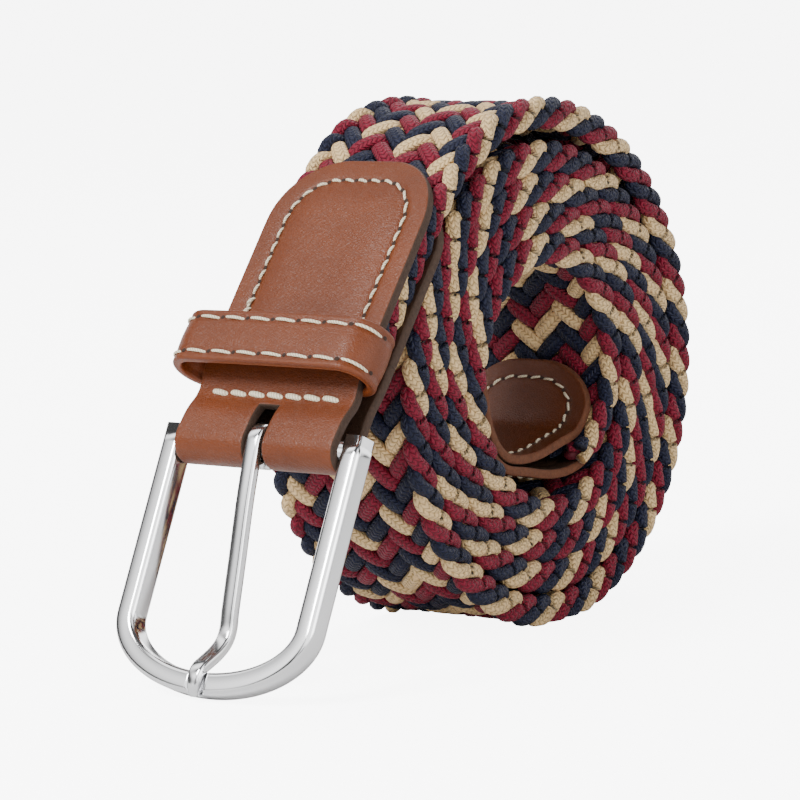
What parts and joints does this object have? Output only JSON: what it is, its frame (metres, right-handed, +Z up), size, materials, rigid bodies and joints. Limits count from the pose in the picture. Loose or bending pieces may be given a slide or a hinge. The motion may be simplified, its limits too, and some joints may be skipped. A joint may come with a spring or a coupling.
{
  "type": "coiled elastic stretch belt",
  "caption": "Braided elastic belt coiled upright, with a leather buckle tab, a keeper loop, a D-shaped buckle with a prong and a leather tip.",
  "frame": {"origin": "centre of the flat patch under the coil, on which the belt rests", "axes": "+X along the coil's axis towards the coil's near face, -Y towards the buckle, +Z up"},
  "size_m": [0.0436, 0.1278, 0.0943],
  "materials": {
    "woven_band": "round knitted cords in cream, navy and burgundy, braided over two and under two",
    "tan_leather": "smooth tan leather with a fine grain, cream stitches and a painted edge",
    "tip_leather": "smooth brown leather with cream stitches",
    "bright_metal": "polished bright nickel plating"
  },
  "bodies": {
    "belt": {"braid": "woven_band", "tip_inner": "tip_leather", "tip_outer": "tip_leather", "buckle_tab": "tan_leather", "keeper": "tan_leather"},
    "frame": {"buckle_frame": "bright_metal"},
    "tongue": {"prong": "bright_metal"}
  },
  "joints": [
    {"name": "frame_swivel", "type": "hinge", "parent": "belt", "child": "frame", "pos_m": [0, -0.06131, 0.04021], "axis": [1, 0, 0], "range_deg": [-45, 55]},
    {"name": "prong_hinge", "type": "hinge", "parent": "frame", "child": "tongue", "pos_m": [0, -0.06131, 0.04021], "axis": [-1, 0, 0], "range_deg": [0, 85]}
  ]
}
